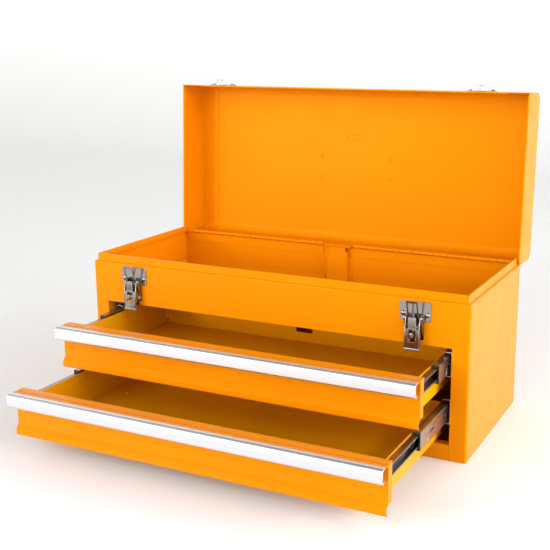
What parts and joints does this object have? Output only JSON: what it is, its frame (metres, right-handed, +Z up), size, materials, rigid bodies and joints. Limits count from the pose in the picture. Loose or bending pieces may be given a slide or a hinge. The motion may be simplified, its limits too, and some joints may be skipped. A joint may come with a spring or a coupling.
{
  "type": "portable tool box with drawers",
  "caption": "Portable steel tool box with a hinged lid over an open compartment, pull-out drawers on ball-bearing slides, draw latches and a folding carrying handle.",
  "frame": {"origin": "on the floor, under the middle of the cabinet's footprint", "axes": "+X to the box's right as seen from the front, +Y from front to back, +Z up"},
  "size_m": [0.52, 0.4929, 0.4199],
  "materials": {
    "paint": "smooth gloss powder coat, orange yellow",
    "zinc": "bright zinc plate",
    "nickel": "bright nickel plate",
    "anodised": "satin anodised",
    "black_plastic": "moulded, fine texture",
    "grip_plastic": "moulded, fine texture"
  },
  "bodies": {
    "cabinet": {"cabinet_shell": "paint", "front_frame": "paint", "base_pan": "paint", "compartment_floor": "paint", "front_slide_posts": "zinc", "rear_slide_posts": "zinc", "lock_channel": "paint", "upper_outer_slides": "zinc", "lower_outer_slides": "zinc", "slide_post_rivets": "zinc", "hinge_body_leaves": "paint", "hinge_pins": "zinc", "right_latch_base": "nickel", "left_latch_base": "nickel", "latch_base_rivets": "nickel", "lever_pivot_rivets": "nickel"},
    "lid": {"lid_wrap": "paint", "lid_left_end": "paint", "lid_right_end": "paint", "hinge_lid_leaves": "paint", "lock_lifter": "paint", "right_keeper": "nickel", "left_keeper": "nickel", "keeper_rivets": "nickel", "handle_brackets": "nickel", "handle_rivets": "paint"},
    "handle": {"handle_bail": "zinc", "handle_grip": "grip_plastic"},
    "upper_drawer": {"upper_drawer_box": "paint", "upper_drawer_inner_front": "paint", "upper_drawer_front": "paint", "upper_drawer_pull": "anodised", "upper_inner_slides": "zinc", "upper_drawer_rivets": "paint", "upper_release_levers": "black_plastic"},
    "upper_mid_members": {"upper_mid_slides": "zinc", "upper_slide_bumpers": "black_plastic"},
    "upper_outer_cage_pair": {"upper_outer_cages": "zinc"},
    "upper_inner_cage_pair": {"upper_inner_cages": "zinc"},
    "lower_drawer": {"lower_drawer_box": "paint", "lower_drawer_inner_front": "paint", "lower_drawer_front": "paint", "lower_drawer_pull": "anodised", "lower_inner_slides": "zinc", "lower_drawer_rivets": "paint", "lower_release_levers": "black_plastic"},
    "lower_mid_members": {"lower_mid_slides": "zinc", "lower_slide_bumpers": "black_plastic"},
    "lower_outer_cage_pair": {"lower_outer_cages": "zinc"},
    "lower_inner_cage_pair": {"lower_inner_cages": "zinc"},
    "right_lever": {"right_latch_lever": "nickel", "right_link_pin": "nickel"},
    "right_link": {"right_latch_link": "nickel"},
    "left_lever": {"left_latch_lever": "nickel", "left_link_pin": "nickel"},
    "left_link": {"left_latch_link": "nickel"},
    "lock_bar_body": {"lock_bar": "paint"}
  },
  "joints": [
    {"name": "lid_hinge", "type": "hinge", "parent": "cabinet", "child": "lid", "pos_m": [0, 0.1067, 0.193], "axis": [1, 0, 0], "range_deg": [0, 93]},
    {"name": "handle_swing", "type": "hinge", "parent": "lid", "child": "handle", "pos_m": [0, 0.1754, 0.29625], "axis": [1, 0, 0], "range_deg": [-3, 177]},
    {"name": "upper_drawer_slide", "type": "slide", "parent": "cabinet", "child": "upper_drawer", "axis": [0, -1, 0], "range_m": [-0.0955, 0.0995]},
    {"name": "upper_mid_members_slide", "type": "slide", "parent": "cabinet", "child": "upper_mid_members", "axis": [0, -1, 0], "range_m": [-0.0382, 0.0398]},
    {"name": "upper_outer_cage_pair_slide", "type": "slide", "parent": "cabinet", "child": "upper_outer_cage_pair", "axis": [0, -1, 0], "range_m": [-0.0191, 0.0199]},
    {"name": "upper_inner_cage_pair_slide", "type": "slide", "parent": "cabinet", "child": "upper_inner_cage_pair", "axis": [0, -1, 0], "range_m": [-0.06685, 0.06965]},
    {"name": "lower_drawer_slide", "type": "slide", "parent": "cabinet", "child": "lower_drawer", "axis": [0, -1, 0], "range_m": [-0.1845, 0.0105]},
    {"name": "lower_mid_members_slide", "type": "slide", "parent": "cabinet", "child": "lower_mid_members", "axis": [0, -1, 0], "range_m": [-0.09594, 0.00546]},
    {"name": "lower_outer_cage_pair_slide", "type": "slide", "parent": "cabinet", "child": "lower_outer_cage_pair", "axis": [0, -1, 0], "range_m": [-0.04797, 0.00273]},
    {"name": "lower_inner_cage_pair_slide", "type": "slide", "parent": "cabinet", "child": "lower_inner_cage_pair", "axis": [0, -1, 0], "range_m": [-0.14022, 0.00798]},
    {"name": "right_latch_lever_swing", "type": "hinge", "parent": "cabinet", "child": "right_lever", "pos_m": [0.195, -0.116, 0.1685], "axis": [-1, 0, 0], "range_deg": [0, 100]},
    {"name": "right_latch_link_swing", "type": "hinge", "parent": "right_lever", "child": "right_link", "pos_m": [0.195, -0.1154, 0.1605], "axis": [-1, 0, 0], "range_deg": [-86.1, 0.1]},
    {"name": "left_latch_lever_swing", "type": "hinge", "parent": "cabinet", "child": "left_lever", "pos_m": [-0.195, -0.116, 0.1685], "axis": [-1, 0, 0], "range_deg": [0, 100]},
    {"name": "left_latch_link_swing", "type": "hinge", "parent": "left_lever", "child": "left_link", "pos_m": [-0.195, -0.1154, 0.1605], "axis": [-1, 0, 0], "range_deg": [-86.1, 0.1]},
    {"name": "lock_bar_drop", "type": "slide", "parent": "cabinet", "child": "lock_bar_body", "axis": [0, 0, -1], "range_m": [0, 0.00601]}
  ],
  "couplings": [
    {"joint": "upper_mid_members_slide", "follows": "upper_drawer_slide", "ratio": 0.4},
    {"joint": "upper_outer_cage_pair_slide", "follows": "upper_drawer_slide", "ratio": 0.2},
    {"joint": "upper_inner_cage_pair_slide", "follows": "upper_drawer_slide", "ratio": 0.7},
    {"joint": "lower_mid_members_slide", "follows": "lower_drawer_slide", "ratio": 0.52},
    {"joint": "lower_outer_cage_pair_slide", "follows": "lower_drawer_slide", "ratio": 0.26},
    {"joint": "lower_inner_cage_pair_slide", "follows": "lower_drawer_slide", "ratio": 0.76},
    {"joint": "right_latch_link_swing", "follows": "right_latch_lever_swing", "ratio": -0.86},
    {"joint": "left_latch_link_swing", "follows": "left_latch_lever_swing", "ratio": -0.86},
    {"joint": "lock_bar_drop", "follows": "lid_hinge", "m_per_rad": 0.003697}
  ]
}
